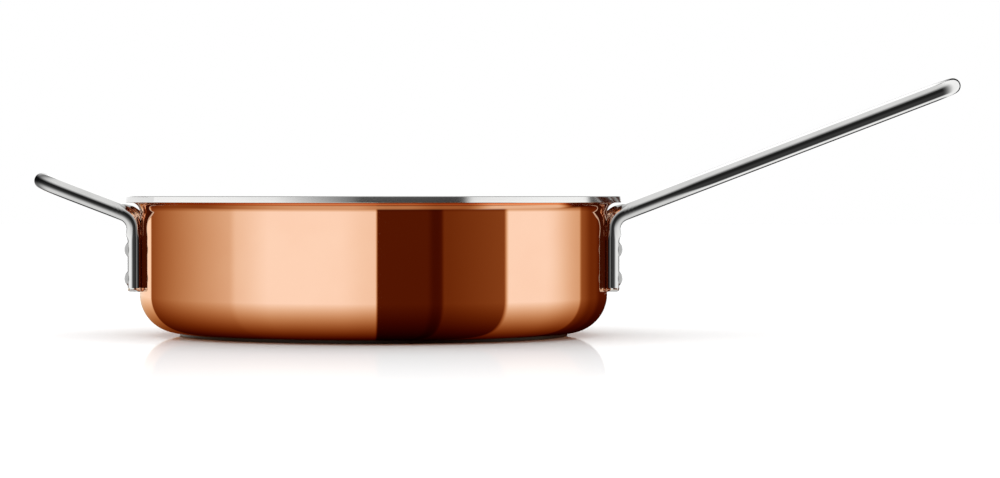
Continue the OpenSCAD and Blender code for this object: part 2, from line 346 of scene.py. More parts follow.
def turned_base():
    """Turned steel disc: fine rings on its face, its narrow rim painted nearly black as
    shade.
    """
    material, shader, place = finish("turned_base", Metallic=1.0)
    x, y = (place.node("ShaderNodeSeparateXYZ", (place,), out=i) for i in range(2))
    radius = (x * x + y * y) ** 0.5
    fine = rings(place, 5.0)
    face = fine.step(0.35, 0.65).blend(FACE_DARK, FACE_LIGHT)
    # The rim's painted shade, fading in over the last 0.2 mm before the rounded edge.
    rim = radius.step(BASE_R - BASE_EDGE - RIM_SOFT, BASE_R - BASE_EDGE)
    colour = rim.blend(face, RIM_SHADE)
    dress(shader, colour, 0.34 + fine * 0.16, fine, 0.01)
    return material


TURNED = turned_base()
piece("base_disc", [spun(base_outline, 360)], "pan", "base_steel", TURNED, "base_plate")

# Handles
# Each handle is one 8 mm stainless bar bent to a hairpin, its two ends pressed flat
# against the wall. The long one rises to the right, the helper is the same bar, short.

BAR_R = 4.0
LEG_GAP = 38.0
RISE = math.radians(20.95)
LEG_BEND_R = 9.0
ELBOW_Z = 61.8
FOOT_W = 10.0
FOOT_T = 6.5
FOOT_Z = 23.2
FOOT_TOP_Z = 50.0
FOOT_CR = WALL_R + FOOT_T / 2
FOOT_A = math.asin(LEG_GAP / 2 / FOOT_CR)
LEG_X = FOOT_CR * math.cos(FOOT_A)
BEND_A = math.pi / 2 - RISE
BEND_TAN = LEG_BEND_R * math.tan(BEND_A / 2)
BEND_Z = ELBOW_Z - BEND_TAN
FOOT_ROUND = 1.3
FOOT_CROWN = 0.08
PRESS_FADE = 3.0
NO_FLAT = 9.0
PRESS_SOFT = 0.35
SECTION_STEPS = 48


def swept(path, tangent, normal, across, up, down):
    """Grid of a bar along a path. Round the section a angle t gives the place path
    + normal n + side b, with b = across sin t and n = across cos t held softly within
    up and -down, which presses flats on the bar."""
    side = np.cross(tangent, normal)
    t = np.arange(SECTION_STEPS) * 2 * np.pi / SECTION_STEPS
    wide = across[:, None] * np.cos(t)
    limit = np.where(np.cos(t) > 0, up[:, None], down[:, None])
    soft = PRESS_SOFT * np.minimum(1, across / BAR_R)[:, None]
    size = np.abs(wide)
    held = np.minimum(size, 0.5 * (size + limit - np.sqrt((size - limit) ** 2 + soft**2))
                      + 0.02 * soft)
    n = np.sign(np.cos(t)) * np.maximum(held, 0)
    b = across[:, None] * np.sin(t)
    return (path[:, None] + n[..., None] * normal[:, None] + b[..., None] * side[:, None])


def ease(value, low, high):
    """Smooth step from 0 at low to 1 at high: 3 s^2 - 2 s^3 of the share between."""
    s = np.clip((value - low) / (high - low), 0, 1)
    return s * s * (3 - 2 * s)


def hairpin(reach):
    """Axis of one half of a handle, from the foot's lower end to the middle of the end
    loop: up the wall, round the bend, along the sloping leg, a quarter turn. The foot
    is turned by its swing to lie on the round wall."""
    slope = np.array([math.cos(RISE), 0, math.sin(RISE)])
    lift = np.array([-math.sin(RISE), 0, math.cos(RISE)])
    elbow = np.array([LEG_X, 0, ELBOW_Z])
    run = (WALL_R + reach - LEG_X) / math.cos(RISE) - LEG_GAP / 2
    y = np.array([0, 1.0, 0])
    end = np.radians(np.linspace(0, 90, 9))
    heights = np.concatenate([[0], FOOT_ROUND * (1 - np.cos(end[1:])),
                              np.linspace(FOOT_ROUND, BEND_Z - FOOT_Z, 56)[1:]]) + FOOT_Z
    foot = np.array([LEG_X, -LEG_GAP / 2, 0]) + heights[:, None] * [0, 0, 1]
    turn = np.linspace(0, BEND_A, 25)[1:, None]
    bend = ([LEG_X + LEG_BEND_R, -LEG_GAP / 2, BEND_Z]
            + LEG_BEND_R * (np.sin(turn) * [0, 0, 1] - np.cos(turn) * [1, 0, 0]))
    steps = max(8, int((run - BEND_TAN) / 2))
    along = np.linspace(BEND_TAN, run, steps)[1:, None]
    leg = elbow - y * LEG_GAP / 2 + along * slope
    round_end = np.linspace(0, math.pi / 2, 33)[1:, None]
    loop = (elbow + run * slope
            + LEG_GAP / 2 * (np.sin(round_end) * slope - np.cos(round_end) * y))
    path = np.vstack([foot, bend, leg, loop])
    tangent = np.vstack([
        np.tile([0, 0, 1.0], (len(foot), 1)),
        np.cos(turn) * [0, 0, 1.0] + np.sin(turn) * [1.0, 0, 0],
        np.tile(slope, (len(leg), 1)),
        np.cos(round_end) * slope + np.sin(round_end) * y,
    ])
    normal = np.vstack([
        np.tile([-1.0, 0, 0], (len(foot), 1)),
        np.sin(turn) * [0, 0, 1.0] - np.cos(turn) * [1.0, 0, 0],
        np.tile(lift, (len(leg) + len(loop), 1)),
    ])
    swing = FOOT_A * (1 - ease(path[:, 2], FOOT_TOP_Z, BEND_Z))
    turned = swing[:len(foot)]
    normal[:len(foot)] = np.column_stack([-np.cos(turned), np.sin(turned), 0 * turned])
    return path, tangent, normal, swing, len(foot)


def handle_grid(reach, turned):
    """Grid of a whole handle: the half hairpin and its mirror image, joined. A foot is
    pressed to its thickness, fading out up the wall, and its lower end is rounded by
    the square root of 1 - s^2 over the last of its length."""
    path, tangent, normal, _, foot = hairpin(reach)
    z = path[:foot, 2]
    press = 1 - ease(z, FOOT_TOP_Z - 0.5, BEND_Z + 0.5)
    rounding = np.clip((FOOT_Z + FOOT_ROUND - z) / FOOT_ROUND, 0, 1)
    close = np.sqrt(1 - rounding**2)
    across, up, down = (np.full(len(path), v) for v in (BAR_R, NO_FLAT, NO_FLAT))
    full = BAR_R + (FOOT_W / 2 - BAR_R) * press
    across[:foot] = (full - FOOT_ROUND) * (rounding < 1) + FOOT_ROUND * close
    across[:foot] *= close > 0
    flat = FOOT_T / 2 + PRESS_FADE * (1 - press)
    down[:foot] = flat - FOOT_ROUND * (1 - close)
    up[:foot] = flat + FOOT_CROWN
    mirror = np.array([1, -1, 1])
    back = slice(-2, None, -1)
    path = np.vstack([path, path[back] * mirror])
    tangent = np.vstack([tangent, -tangent[back] * mirror])
    normal = np.vstack([normal, normal[back] * mirror])
    across, up, down = (np.concatenate([v, v[back]]) for v in (across, up, down))
    grid = swept(path, tangent, normal, across, up, down)
    return grid * [-1, -1, 1] if turned else grid


STEEL_DARK, STEEL_LIGHT = (0.74, 0.74, 0.73, 1), (0.80, 0.80, 0.79, 1)


def polished_bar():
    """Polished stainless bar: bright, with a faint drawn grain and soft gloss clouds."""
    material, shader, place = finish("polished_bar", Metallic=1.0)
    cloud = stretched(place, 1, 1, 1, 0.06, 3)
    grain = stretched(place, 0.5, 5, 5, 1.0, 3)
    colour = cloud.step(0.3, 0.7).blend(STEEL_DARK, STEEL_LIGHT)
    dress(shader, colour, 0.07 + cloud * 0.05 + grain.step(0.5, 0.8) * 0.04, grain, 0.0004)
    return material


BAR_STEEL = polished_bar()
LONG_REACH = 181.3
HELPER_REACH = 51.6
piece("long_grip", [handle_grid(LONG_REACH, False)], "pan", "polished_steel", BAR_STEEL,
      "long_handle")
piece("helper_grip", [handle_grid(HELPER_REACH, True)], "pan", "polished_steel", BAR_STEEL,
      "helper_handle")

# Handle rivets
# Two solid stainless rivets through each foot and the wall, with a domed head outside
# and a low head on the liner.

RIVET_D = 4.8
RIVET_ZS = (30.0, 45.0)
HEAD_D, HEAD_H = 7.6, 1.8
BACK_D, BACK_H = 9.0, 1.2
BACK_SINK = 0.18
LINER_R = 120.0
FOOT_FACE = WALL_R + FOOT_T
HEAD_STEP, HEAD_BREAK = 0.02, 0.06
# Rivet tones: the grain varies them at random, and both sit well below the bar's steel as
# painted shade for the dark surroundings that the heads mirror.
RIVET_SHADED_DARK, RIVET_SHADED_LIGHT = (0.37, 0.37, 0.37, 1), (0.46, 0.46, 0.45, 1)


def cap(width, height, level, upwards, steps=10):
    """Outline of a ball's cap from its rim to its pole: a ball of radius
    (w^2 / 4 + h^2) / 2 h, cut where it is w wide."""
    ball = (width**2 / 4 + height**2) / (2 * height)
    edge = math.degrees(math.asin(width / 2 / ball))
    a = np.radians(np.linspace(edge, 0, steps + 1))
    z = (ball * np.cos(a) - ball + height) * (1 if upwards else -1)
    return np.column_stack([ball * np.sin(a), level + z])


def rivet_outline(shank, first, second, w_first, h_first, w_second, h_second):
    """Closed outline of a rivet along its axis: a domed head below first, the shank,
    and a domed head above second."""
    return outline(
        cap(w_first, h_first, first, False)[::-1],
        (w_first / 2, first + HEAD_STEP), (w_first / 2 - 0.1, first + HEAD_BREAK),
        (shank / 2, first + HEAD_BREAK), (shank / 2, second - HEAD_BREAK),
        (w_second / 2 - 0.1, second - HEAD_BREAK), (w_second / 2, second - HEAD_STEP),
        cap(w_second, h_second, second, True),
    )


def handle_rivet_grids(turned):
    """Four rivets of one handle, their axes turned from Z to point away from the wall."""
    rows = rivet_outline(RIVET_D, LINER_R - BACK_SINK, FOOT_FACE,
                         BACK_D, BACK_H, HEAD_D, HEAD_H)
    grid = spun(rows, 48)
    grid[..., 2], grid[..., 0] = grid[..., 0].copy(), grid[..., 2].copy()
    made = []
    for side in (-1, 1):
        c, s = math.cos(side * FOOT_A), math.sin(side * FOOT_A)
        turn = np.array([[c, s, 0], [-s, c, 0], [0, 0, 1]])
        for z in RIVET_ZS:
            one = grid @ turn + [0, 0, z]
            made.append(one * [-1, -1, 1] if turned else one)
    return made


def satin_rivet():
    """Satin stainless rivet: a fine turned grain with small pits of tone, over a colour
    kept dark as painted shade.
    """
    material, shader, place = finish("satin_rivet", Metallic=1.0)
    grain = stretched(place, 3, 3, 3, 1.0, 3)
    # Painted shade: the rivet colour is kept dark for the dark surroundings it mirrors.
    colour = grain.step(0.35, 0.65).blend(RIVET_SHADED_DARK, RIVET_SHADED_LIGHT)
    dress(shader, colour, 0.16 + grain * 0.1, grain, 0.0015)
    return material


RIVET_STEEL = satin_rivet()
piece("long_grip_rivets", handle_rivet_grids(False), "pan", "rivet_steel", RIVET_STEEL,
      "long_handle_rivets")
piece("helper_grip_rivets", handle_rivet_grids(True), "pan", "rivet_steel", RIVET_STEEL,
      "helper_handle_rivets")

# Lid
# One disc of 1 mm stainless steel, spun: a flat top that lies on the flange, a short
# leaning skirt with a polished edge, and a sunken well that holds the bail.

LID_T = 1.0
LID_TOP = 72.7
SKIRT_R = 129.3
SKIRT_LOW_Z = 69.4
DRAFT = math.radians(5)
LID_EDGE_R = 0.4
SKIRT_EDGE_R = 0.2
SKIRT_BREAK = 0.1
SEAT_R = 0.3
WELL_R = 60.0
WELL_FLOOR = 59.7
WELL_LIP_R = 2.5
WELL_FOOT_R = 5.0
LIP_R = WELL_R + WELL_LIP_R + LID_T
SKIRT_LOW_R = SKIRT_R + (RIM_Z - SKIRT_LOW_Z) * math.tan(DRAFT)
SKIRT_HIGH_R = SKIRT_R - (LID_T - LID_EDGE_R) * math.tan(DRAFT)

lid_outline = outline(
    (0, WELL_FLOOR),
    arc(WELL_R - WELL_FOOT_R, WELL_FLOOR + WELL_FOOT_R, WELL_FOOT_R, -90, 0, 16),
    arc(LIP_R, RIM_Z - WELL_LIP_R, WELL_LIP_R + LID_T, 180, 90, 16),
    arc(SKIRT_HIGH_R - LID_EDGE_R, LID_TOP - LID_EDGE_R, LID_EDGE_R, 90, 5, 10),
    arc(SKIRT_LOW_R - SKIRT_EDGE_R, SKIRT_LOW_Z + SKIRT_EDGE_R, SKIRT_EDGE_R, 5, -90, 5),
    (SKIRT_LOW_R - LID_T + SKIRT_BREAK, SKIRT_LOW_Z),
    (SKIRT_LOW_R - LID_T, SKIRT_LOW_Z + SKIRT_BREAK),
    arc(SKIRT_R - LID_T - SEAT_R, RIM_Z - SEAT_R, SEAT_R, 0, 90, 4),
    arc(LIP_R, RIM_Z - WELL_LIP_R, WELL_LIP_R, 90, 180, 12),
    arc(WELL_R - WELL_FOOT_R, WELL_FLOOR + WELL_FOOT_R, WELL_FOOT_R + LID_T, 0, -90, 16),
    (0, WELL_FLOOR - LID_T),
)
LID_LIGHT, LID_DARK = (0.80, 0.80, 0.79, 1), (0.72, 0.72, 0.71, 1)
LID_STEEL = spun_steel("spun_lid", LID_LIGHT, LID_DARK, 0.13, 0.0015)
piece("lid_disc", [spun(lid_outline, 360)], "lid", "lid_steel", LID_STEEL, "lid_plate")

# Lid lugs and their rivets
# Two pressed steel lugs on the well's floor carry the bail's pins; two small rivets
# hold each of them.

LUG_LIGHT, LUG_DARK = (0.74, 0.74, 0.73, 1), (0.66, 0.66, 0.65, 1)
LUG_STEEL = spun_steel("pressed_lug", LUG_LIGHT, LUG_DARK, 0.2, 0.002)
for lug in ("lid_lug_front", "lid_lug_rear"):
    nodes[lug].data.materials.clear()
    nodes[lug].data.materials.append(LUG_STEEL)
LUG_T = 2.2
LUG_RIVET_X = 5.2
LUG_RIVET_Y = 46.1
LUG_RIVET_D = 3.0
LUG_HEAD_D, LUG_HEAD_H = 5.2, 1.2
lug_rivet = spun(rivet_outline(LUG_RIVET_D, WELL_FLOOR - LID_T, WELL_FLOOR + LUG_T,
                               LUG_HEAD_D, LUG_HEAD_H, LUG_HEAD_D, LUG_HEAD_H), 40)
piece("lug_rivets", [lug_rivet + [sx * LUG_RIVET_X, sy * LUG_RIVET_Y, 0]
                     for sx in (-1, 1) for sy in (-1, 1)],
      "lid", "rivet_steel", RIVET_STEEL, "lid_lug_rivets")

# Lid bail
# The lid's grip: a 5 mm stainless wire bent to a square bail, its two pins turning in
# the lugs. It lies in the well, tilted down until it nearly meets the floor.

BAIL_R = 2.5
BAIL_HALF = 33.0
BAIL_REACH = 42.0
BAIL_CORNER_R = 10.0
PIN_BEND_R = 5.0
PIN_LEN = 4.6
PIVOT_Z = 66.0
BAIL_GAP = 0.3
BAIL_TILT = math.asin((PIVOT_Z - WELL_FLOOR - BAIL_R - BAIL_GAP) / BAIL_REACH)
PIN_ROUND = 0.5


def bail_grid():
    """Grid of the bail: half its path from a pin's end to the cross bar's middle, and
    the mirror image, tilted about the pivot."""
    end = np.radians(np.linspace(0, 90, 7))
    pin_y = BAIL_HALF + PIN_BEND_R
    shift = np.concatenate([[0], PIN_ROUND * (1 - np.cos(end))])
    scale = np.concatenate([[0], (BAIL_R - PIN_ROUND + PIN_ROUND * np.sin(end)) / BAIL_R])
    a = np.radians(np.linspace(0, 90, 17))[:, None]
    x, y = np.array([1.0, 0, 0]), np.array([0, 1.0, 0])
    arm = np.linspace(PIN_BEND_R, BAIL_REACH - BAIL_CORNER_R, 14)[1:-1, None]
    runs = [
        shift[:, None] * y - (pin_y + PIN_LEN) * y,
        np.linspace(-pin_y - PIN_LEN + 1, -pin_y, 5)[:-1, None] * y,
        PIN_BEND_R * x - pin_y * y + PIN_BEND_R * (np.sin(a) * y - np.cos(a) * x),
        arm * x - BAIL_HALF * y,
        ((BAIL_REACH - BAIL_CORNER_R) * x - (BAIL_HALF - BAIL_CORNER_R) * y
         + BAIL_CORNER_R * (np.sin(a) * x - np.cos(a) * y)),
        BAIL_REACH * x + np.linspace(-(BAIL_HALF - BAIL_CORNER_R), 0, 12)[1:, None] * y,
    ]
    path = np.vstack(runs)
    size = np.full(len(path), BAIL_R)
    size[:len(scale)] *= scale
    path = np.vstack([path, path[-2::-1] * [1, -1, 1]])
    size = np.concatenate([size, size[-2::-1]])
    step = np.gradient(path, axis=0)
    tangent = step / np.maximum(np.linalg.norm(step, axis=1, keepdims=True), 1e-9)
    tangent[:2] = [0, 1, 0]
    half = len(path) // 2
    tangent[half + 1:] = tangent[half - 1::-1] * [-1, 1, 1]
    normal = np.tile([0, 0, 1.0], (len(path), 1))
    wide = np.full(len(path), NO_FLAT)
    grid = swept(path, tangent, normal, size, wide, wide)
    c, s = math.cos(BAIL_TILT), math.sin(BAIL_TILT)
    return grid @ np.array([[c, 0, -s], [0, 1, 0], [s, 0, c]]) + [0, 0, PIVOT_Z]


piece("lid_grip", [bail_grid()], "bail", "polished_steel", BAR_STEEL, "lid_bail")

# Studio
# Soft light all round, painted on the world by direction. Polished metal mirrors it:
# white cards to the left and right of the camera, dark ones between and above them.

TO_DEGREES = 180 / math.pi


def between(value, low, high, soft):
    """1 between low and high, falling to 0 over soft on each side."""
    return (value.step(low - soft / 2, low + soft / 2)
            * value.step(high + soft / 2, high - soft / 2))


def stepped(value, tone, *steps):
    """A tone plus each step's amount, which comes in as value goes from its low to its
    high."""
    for amount, low, high in steps:
        tone = tone + amount * value.step(low, high)
    return tone


def brighter(first, second):
    """The larger of two values."""
    return second.maths("MAXIMUM", first, second)


def warm_light(tone):
    """Colour of a card that copper mirrors: the dimmer it is, the redder."""
    return tone.node("ShaderNodeCombineColor",
                     (1.045 * tone, 1.105 * tone ** 1.8, 1.124 * tone ** 2.75))


# Front cards, as a copper wall shows them. Places are in degrees of turn, counted from
# the camera's side; a step is its amount, where it starts and where it is complete.
LEFT_TONE, LEFT_SLOPE, LEFT_FROM, LEFT_MOST = 0.289, 0.0144, -68, 0.985
LEFT_LIFT, LEFT_DIP, LEFT_END = (0.09, -37.2, -34.6), (-0.07, -9, 0), (1.2, 0.4)
FAR_LEFT = (0.98, -69.1, -70.6)
DARK_TONE, DARK_LIFT = 0.085, (0.068, 16.2, 17.2)
DARK_LINE, DARK_LINE_DEPTH = (13.6, 16.4, 2.0), 0.03
DARK_SLOPE, DARK_FROM = 0.0052, 18.0
RIGHT_CARD, RIGHT_TONE, RIGHT_DIP = (33.3, 60.8, 2.2), 0.99, (-0.30, 45, 61)
RIGHT_END, RIGHT_EDGE = (60.5, 61.5), 0.28
RIGHT_EDGE_DIPS = ((-0.13, 61, 67), (-0.07, 69, 74))
LOW_FADE, LOW_POWER = 1.1, 1.15
# Cards for the lid's edge, and the sky over them by height and by the ray's own rise
SKIRT_TONE, SKIRT_SLOPE, SKIRT_MOST, SKIRT_END = -0.03, -0.052, 1.16, (-2.9, -4.4)
SKIRT_DARK, SKIRT_FAR = 0.025, (0.10, 58, 62)
SKIRT_RIGHT, SKIRT_RIGHT_TONE = (21.6, 58.5, 2.6), 1.14
SKIRT_TOP = (0.23, 0.18)
SKY_STEP, BARS_STEP, CROWN_STEP = (0.42, 0.18, 0.25), (0.68, 34, 58), (1.0, 76, 86)
AHEAD, AHEAD_RISE = (0.970, 0.977), (0.0, 0.004)
UPPER_START = (1.0, 3.0)
SOFT_TONE, SOFT_STEP = 0.32, (1.48, 0.5, 0.85)
WHITE = (1, 1, 1, 1)

world = bpy.data.worlds.new("studio")
bpy.context.scene.world = world
world.use_nodes = True
world.node_tree.nodes.clear()
sky = Wire(world.node_tree)
ray = sky.node("ShaderNodeTexCoord", out="Generated")
rx, ry, rz = (ray.node("ShaderNodeSeparateXYZ", (ray,), out=i) for i in range(3))
# Half-way vector between the ray and the camera's side: its turn and its height
back = 1.0 - ry
span = (rx * rx + back * back + rz * rz) ** 0.5
turn = sky.maths("ARCTAN2", rx, back) * TO_DEGREES
height = sky.maths("ARCSINE", rz / (span + 1e-6)) * TO_DEGREES
left_ramp = stepped(turn, LEFT_TONE + LEFT_SLOPE * (turn - LEFT_FROM), LEFT_LIFT)
left_card = stepped(turn, sky.maths("MINIMUM", left_ramp, LEFT_MOST), LEFT_DIP)
left_card = left_card * turn.step(*LEFT_END)
dark_tone = DARK_TONE - DARK_LINE_DEPTH * between(turn, *DARK_LINE)
dark_ramp = stepped(turn, dark_tone, DARK_LIFT)
dark_ramp = dark_ramp + DARK_SLOPE * sky.maths("MAXIMUM", turn - DARK_FROM, 0.0)
dark_card = dark_ramp * (1 - turn.step(*LEFT_END)) * (1 - turn.step(*RIGHT_END))
dark_card = dark_card + turn.step(*RIGHT_END) * stepped(turn, RIGHT_EDGE, *RIGHT_EDGE_DIPS)
right_card = between(turn, *RIGHT_CARD) * stepped(turn, RIGHT_TONE, RIGHT_DIP)
tone = brighter(brighter(left_card, stepped(turn, 0.0, FAR_LEFT)),
                brighter(right_card, dark_card))
down = sky.maths("MAXIMUM", 0.0, sky.maths("SINE", height * (-1 / TO_DEGREES)))
fade = sky.maths("MINIMUM", 1.0, LOW_FADE * (1 - down) ** LOW_POWER)
front = warm_light(tone * fade)
skirt_left = sky.maths("MINIMUM", SKIRT_TONE + SKIRT_SLOPE * turn, SKIRT_MOST)
skirt = brighter(skirt_left * turn.step(*SKIRT_END), stepped(turn, SKIRT_DARK, SKIRT_FAR))
skirt = skirt + SKIRT_RIGHT_TONE * between(turn, *SKIRT_RIGHT)
ahead = ry.step(*AHEAD) * rz.step(*AHEAD_RISE)
upper = brighter(skirt * rz.step(*SKIRT_TOP), stepped(rz, 0.0, SKY_STEP))
for card in (stepped(height, 0.0, BARS_STEP), stepped(height, 0.0, CROWN_STEP), ahead):
    upper = brighter(upper, card)
upper_light = sky.node("ShaderNodeCombineColor", (upper, upper, upper))
lifted = brighter(height.step(*UPPER_START), ahead)
pattern = lifted.blend(front, upper_light)
# The floor's soft light comes mostly from above
soft = stepped(rz, SOFT_TONE, SOFT_STEP)
soft_light = sky.node("ShaderNodeCombineColor", (soft, soft, soft))
seen, mirrored = (sky.node("ShaderNodeLightPath", out=name)
                  for name in ("Is Camera Ray", "Is Glossy Ray"))
shown = seen.blend(mirrored.blend(soft_light, pattern), WHITE)
light = sky.node("ShaderNodeBackground", (shown, 1.0))
sky.node("ShaderNodeOutputWorld", {"Surface": light})


# Light strips
# A light strip follows each bar, so that it mirrors one dark band between light ones.
# Like the cards after it, it is part of the studio and is seen only in mirror metal. It
# lights only what is near it, and is dark in second mirror images.

STAGE_ONLY_GLOSS = ("visible_camera", "visible_diffuse", "visible_shadow",
                    "visible_transmission", "visible_volume_scatter")


def stage_sheet(name, points, tones):
    """A sheet of the studio from a grid of points in mm, seen only in mirror metal. Its
    tones are kept as attributes of the same names for its paint."""
    rows, cols = points.shape[:2]
    at = np.arange(rows * cols).reshape(rows, cols)
    quads = np.stack([at[:-1, :-1], at[:-1, 1:], at[1:, 1:], at[1:, :-1]], axis=-1)
    mesh = bpy.data.meshes.new(name)
    mesh.from_pydata((points.reshape(-1, 3) * MM).tolist(), [],
                     quads.reshape(-1, 4).tolist())
    for key, values in tones.items():
        layer = mesh.attributes.new(key, "FLOAT", "POINT")
        layer.data.foreach_set("value", np.asarray(values, np.float32).ravel())
    sheet = bpy.data.objects.new(name, mesh)
    bpy.context.scene.collection.objects.link(sheet)
    for flag in STAGE_ONLY_GLOSS:
        setattr(sheet, flag, False)
    return sheet


def paint_tree(name):
    """An empty material for the studio, and a Wire on it."""
    material = bpy.data.materials.new(name)
    material.use_nodes = True
    material.node_tree.nodes.clear()
    return material, Wire(material.node_tree)


def lit_card(wire, glow, cover):
    """Paint of a card: light on its face, clear from behind and where cover is 0."""
    behind = wire.node("ShaderNodeNewGeometry", out="Backfacing")
    clear = wire.node("ShaderNodeBsdfTransparent")
    light = wire.node("ShaderNodeEmission", (glow, 1.0))
    shown = wire.node("ShaderNodeMixShader", (cover * (1 - behind), clear, light))
    wire.node("ShaderNodeOutputMaterial", {"Surface": shown})


def kept(wire, name):
    """A value kept as an attribute of a sheet's points."""
    return wire.node("ShaderNodeAttribute", out="Fac", attribute_name=name)


STRIP_R = 9.0
FOOT_STRIP_R = 6.5
SECOND_DARK, SECOND_LIGHT = (0.06, 0.010, 0.002, 1), (0.85, 0.85, 0.85, 1)
SECOND_REACH = 0.03
FOOT_REACH, BEND_MORE, LEG_MORE = 0.0085, 0.003, 0.012
# Tones of the strips. Pairs are degrees round the bar from the camera's side, where a
# tone starts and where it is complete, or else a size and what the foot's side adds.
LEG_DARK, LEG_GREY, GREY_AT, GREY_END = 0.014, 0.035, (-5, 20), (86, 98)
NEAR_X, LINE_FROM, LINE_SOFT, LINE_LESS = (26, 54), (50, -37), (15, 27), 0.25
TOP_FROM, TOP_SOFT, NEAR_TOP, FAR_TOP = (22, -9), (40, -8), 0.80, 1.35
LOOP_WHITE, LOOP_BASE, LOOP_END, LOOP_Y = 1.05, 0.04, (104, 116), (-16.5, -9.0)
LOOP_DIM, DIM_Y = 0.75, (-15, -2)
FOOT_DARK, FOOT_WHITE, FOOT_GREY, FOOT_LINE = 0.012, 0.98, 0.05, 0.22
WHITE_AT, WHITE_END, FOOT_GREY_AT = (6, 22), (104, 114), (-22, 6)
THIN_AT, THIN_END = (18, 21), (25, 29)
EDGE_FROM, EDGE_TO = (48, 60), (100, 120)
# A strip's two edges in degrees: at the foot, and what the bend and the leg add
STRIP_FIRST, STRIP_LAST = (-214, 49), (34, 6, 90)
STRIP_SKIP, STRIP_STEPS = 9, 67
UNDER_X, UNDER_Y, UNDER_DROP = (-2.5, 6.0), 8.0, 3.0
UNDER_TONE, UNDER_REACH = 0.62, 0.0075
strip_light, wire = paint_tree("strip_light")
bounce, travel = (wire.node("ShaderNodeLightPath", out=name)
                  for name in ("Ray Depth", "Ray Length"))
second = bounce.step(1.4, 1.6)
lit_card(wire, second.blend(kept(wire, "tone"),
                            kept(wire, "edge").blend(SECOND_DARK, SECOND_LIGHT)),
         wire.maths("MAXIMUM", wire.maths("LESS_THAN", travel, kept(wire, "limit")),
                    second * wire.maths("LESS_THAN", travel, SECOND_REACH)))


def bar_tone(angle, x, top):
    """Light mirrored by the sloping bar: dark in front, a plateau above, a thin light
    line below with a dark one under it. Near the pan the lower light is wider."""
    near = 1 - ease(x, LEG_X + NEAR_X[0], LEG_X + NEAR_X[1])
    below = -angle
    end = ease(below, *GREY_END)
    line = ease((below - LINE_FROM[0] - LINE_FROM[1] * near)
                / (LINE_SOFT[0] + LINE_SOFT[1] * near), 0, 1)
    line = line * (1 - end) * (1 - LINE_LESS * near)
    start = TOP_FROM[0] + TOP_FROM[1] * near
    plateau = top * ease((angle - start) / (TOP_SOFT[0] + TOP_SOFT[1] * near), 0, 1)
    return LEG_DARK + LEG_GREY * ease(below, *GREY_AT) * (1 - 0.7 * end) + line + plateau


def foot_tone(angle):
    """Light mirrored by the upright foot: white outside with a thin dark edge, a thin
    light line near the wall."""
    below = -angle
    white = FOOT_WHITE * ease(below, *WHITE_AT) * (1 - 0.9 * ease(below, *WHITE_END))
    line = FOOT_LINE * ease(angle, *THIN_AT) * (1 - ease(angle, *THIN_END))
    return FOOT_DARK + white + FOOT_GREY * ease(below, *FOOT_GREY_AT) + line


for label, reach, side in (("long", LONG_REACH, 1), ("helper", HELPER_REACH, -1)):
    *parts, _ = hairpin(reach)
    path, tangent, normal, swing = (part[STRIP_SKIP:] for part in parts)
    bent = ease(path[:, 2], FOOT_TOP_Z, ELBOW_Z + 2.0)[:, None]
    far = ease(path[:, 0], LEG_X + 4, LEG_X + 14)[:, None]
    round_end = path[:, 1][:, None]
    first = STRIP_FIRST[0] + STRIP_FIRST[1] * bent
    last = STRIP_LAST[0] + STRIP_LAST[1] * bent + STRIP_LAST[2] * far
    reach_out = FOOT_STRIP_R + (STRIP_R - FOOT_STRIP_R) * far
    angle = first + np.linspace(0, 1, STRIP_STEPS)[None, :] * (last - first)
    rad = np.radians(angle)[..., None]
    angle = angle + np.degrees(swing)[:, None]
    points = (path[:, None] + reach_out[..., None] * (
        np.sin(rad) * normal[:, None] + np.cos(rad) * np.cross(tangent, normal)[:, None]))
    for place, y in (("near", 1), ("far", -1)):
        leg = bar_tone(angle, path[:, :1] if side > 0 else 0 * angle,
                       NEAR_TOP if y > 0 else FAR_TOP)
        if side < 0:
            leg = leg * (1 - LOOP_DIM * ease(round_end, *DIM_Y))
        else:
            white = LOOP_WHITE * (1 - ease(np.abs(angle), *LOOP_END)) + LOOP_BASE
            leg = leg + ease(round_end, *LOOP_Y) * (white * (y > 0) - leg)
        tone = foot_tone(angle) * (1 - bent) + leg * bent
        limit = (FOOT_REACH + BEND_MORE * far + 0 * angle
                 + LEG_MORE * ease(path[:, :1], LEG_X + 14, LEG_X + 40))
        edge = ease(-angle, *EDGE_FROM) * (1 - ease(-angle, *EDGE_TO))
        order = slice(None) if side * y > 0 else slice(None, None, -1)
        strip = stage_sheet(f"strip_{label}_{place}", (points * [side, y, 1])[:, order],
                            {"tone": tone[:, order], "limit": limit[:, order],
                             "edge": edge[:, order]})
        strip.data.materials.append(strip_light)
        # A small light card under the foot, for its rounded lower end
        under_y, under_x = np.meshgrid(np.linspace(-UNDER_Y, UNDER_Y, 3),
                                       np.linspace(*UNDER_X, 3), indexing="ij")
        low = path[0] * [side, y, 1]
        under = np.stack([low[0] + side * under_x, low[1] + under_y,
                          low[2] - UNDER_DROP + 0 * under_x], axis=-1)[:, ::side]
        card = stage_sheet(f"foot_card_{label}_{place}", under, {
            key: value + 0 * under_x
            for key, value in (("tone", UNDER_TONE), ("limit", UNDER_REACH), ("edge", 1))})
        card.data.materials.append(strip_light)


# Flare ring
# A warm ring round the pan, which slopes down outwards, lights the copper's flare from
# below. It fades out towards its outer edge.


def around(radii, heights, first, last, steps):
    """Grid of a band round the pan's axis, from first to last in degrees, counted from
    the camera's side towards the long handle."""
    a = np.radians(np.linspace(first, last, steps + 1) - 90)[:, None]
    flat = 0 * (radii + heights + a)
    return np.stack([radii * np.cos(a) + flat, radii * np.sin(a) + flat, heights + flat],
                    axis=-1)


